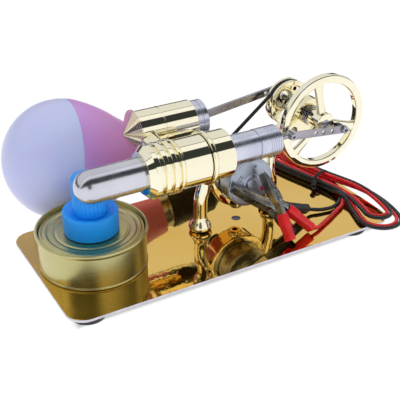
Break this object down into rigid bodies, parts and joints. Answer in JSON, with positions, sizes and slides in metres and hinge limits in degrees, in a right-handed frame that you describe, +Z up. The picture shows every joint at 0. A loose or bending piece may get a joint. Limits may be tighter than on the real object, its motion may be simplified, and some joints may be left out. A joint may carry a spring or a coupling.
{
  "type": "stirling engine model",
  "caption": "Desk-top hot-air engine with flywheel, belt-driven generator, burner and lamp on a mirror-gold base plate.",
  "frame": {"origin": "on the table, under the middle of the model's bounding box without its free wires", "axes": "+X from the burner to the flywheel, +Y from the front edge of the plate to the lamp behind it, +Z up"},
  "size_m": [0.179, 0.1335, 0.0761],
  "materials": {
    "plate_gold": "mirror gold coating",
    "pale_gold": "polished and gold plated",
    "aluminium": "turned",
    "steel": "polished",
    "dark_steel": "blackened",
    "nickel": "nickel plated",
    "tin": "gold lacquered tinplate",
    "black_rubber": "matt",
    "blue_plastic": "satin",
    "opal_plastic": "frosted",
    "pink_plastic": "satin",
    "black_pvc": "satin",
    "red_pvc": "satin"
  },
  "bodies": {
    "root": {"base_plate": "plate_gold", "stand_casting": "pale_gold", "bearing_bracket": "pale_gold", "finned_cylinder": "pale_gold", "cold_end_block": "pale_gold", "cone_cap": "pale_gold", "power_cylinder": "pale_gold", "transfer_bridge": "pale_gold", "displacer_guide": "aluminium", "cylinder_liner": "aluminium", "bearing_front": "steel", "bearing_rear": "steel", "hot_tube": "steel", "motor_can": "steel", "motor_end_cap": "steel", "stand_screw_left": "steel", "stand_screw_right": "steel", "wick_holder": "nickel", "black_clip_upper": "nickel", "red_clip_upper": "nickel", "burner_can": "tin", "burner_lid": "tin", "rubber_foot_front_left": "black_rubber", "rubber_foot_front_right": "black_rubber", "rubber_foot_back_left": "black_rubber", "rubber_foot_back_right": "black_rubber", "drive_belt": "black_rubber", "lamp_holder": "black_rubber", "blue_collar": "blue_plastic", "black_boot_upper": "black_pvc", "cord_hank": "black_pvc", "black_lead": "black_pvc", "lamp_cord": "black_pvc", "red_boot_upper": "red_pvc", "red_lead": "red_pvc"},
    "crankshaft": {"crank_shaft": "steel", "front_flywheel": "pale_gold", "front_crank_pin": "dark_steel", "rear_belt_wheel": "pale_gold", "rear_crank_pin": "dark_steel"},
    "generator_rotor": {"motor_shaft": "steel", "motor_armature": "dark_steel", "motor_pulley": "black_pvc"},
    "displacer_set": {"displacer": "steel", "displacer_rod": "steel", "front_wrist_pin": "steel"},
    "front_rod": {"front_connecting_rod": "aluminium", "front_crank_screw": "dark_steel"},
    "piston_set": {"power_piston": "steel", "gudgeon_pin": "steel"},
    "rear_rod": {"rear_connecting_rod": "aluminium", "rear_crank_screw": "dark_steel"},
    "burner_cap": {"blue_cap": "blue_plastic"},
    "bulb": {"bulb_dome": "opal_plastic", "bulb_housing": "pink_plastic", "bulb_screw_cap": "nickel"},
    "black_jaw": {"black_clip_lower": "nickel", "black_boot_lower": "black_pvc"},
    "red_jaw": {"red_clip_lower": "nickel", "red_boot_lower": "red_pvc"}
  },
  "joints": [
    {"name": "flywheel_spin", "type": "hinge", "parent": "root", "child": "crankshaft", "pos_m": [0.05796, -0.0192, 0.05233], "axis": [0, 1, 0], "continuous": true},
    {"name": "generator_spin", "type": "hinge", "parent": "root", "child": "generator_rotor", "pos_m": [0.0177, -0.0222, 0.03], "axis": [0, 1, 0], "continuous": true},
    {"name": "displacer_slide", "type": "slide", "parent": "root", "child": "displacer_set", "axis": [1, 0, 0], "range_m": [-0.01794, 0.00046]},
    {"name": "front_rod_pivot", "type": "hinge", "parent": "displacer_set", "child": "front_rod", "pos_m": [0.036, -0.04045, 0.05233], "axis": [0, 1, 0], "range_deg": [-23.77, 11.1]},
    {"name": "power_piston_slide", "type": "slide", "parent": "root", "child": "piston_set", "axis": [1, 0, 0], "range_m": [-0.0107, 0.0043]},
    {"name": "rear_rod_pivot", "type": "hinge", "parent": "piston_set", "child": "rear_rod", "pos_m": [0.00606, -0.001, 0.05233], "axis": [0, 1, 0], "range_deg": [-0.55, 15.09]},
    {"name": "burner_cap_lift", "type": "slide", "parent": "root", "child": "burner_cap", "axis": [0, 0, 1], "range_m": [0, 0.025]},
    {"name": "bulb_unscrew", "type": "hinge", "parent": "root", "child": "bulb", "pos_m": [-0.0498, 0.0322, 0.03], "axis": [-0.9791, 0.0513, 0.1968], "range_deg": [0, 720]},
    {"name": "black_clip_squeeze", "type": "hinge", "parent": "root", "child": "black_jaw", "pos_m": [0.0231, -0.0419, 0.0197], "axis": [0.4117, -0.5242, 0.7454], "range_deg": [0, 14], "stiffness_Nm_per_rad": 0.02, "springref_deg": -22.92},
    {"name": "red_clip_squeeze", "type": "hinge", "parent": "root", "child": "red_jaw", "pos_m": [0.0254, -0.046, 0.0241], "axis": [0.3045, -0.7538, 0.5823], "range_deg": [0, 7], "stiffness_Nm_per_rad": 0.02, "springref_deg": -22.92}
  ],
  "couplings": [
    {"joint": "generator_spin", "follows": "flywheel_spin", "ratio": 3.1471}
  ]
}
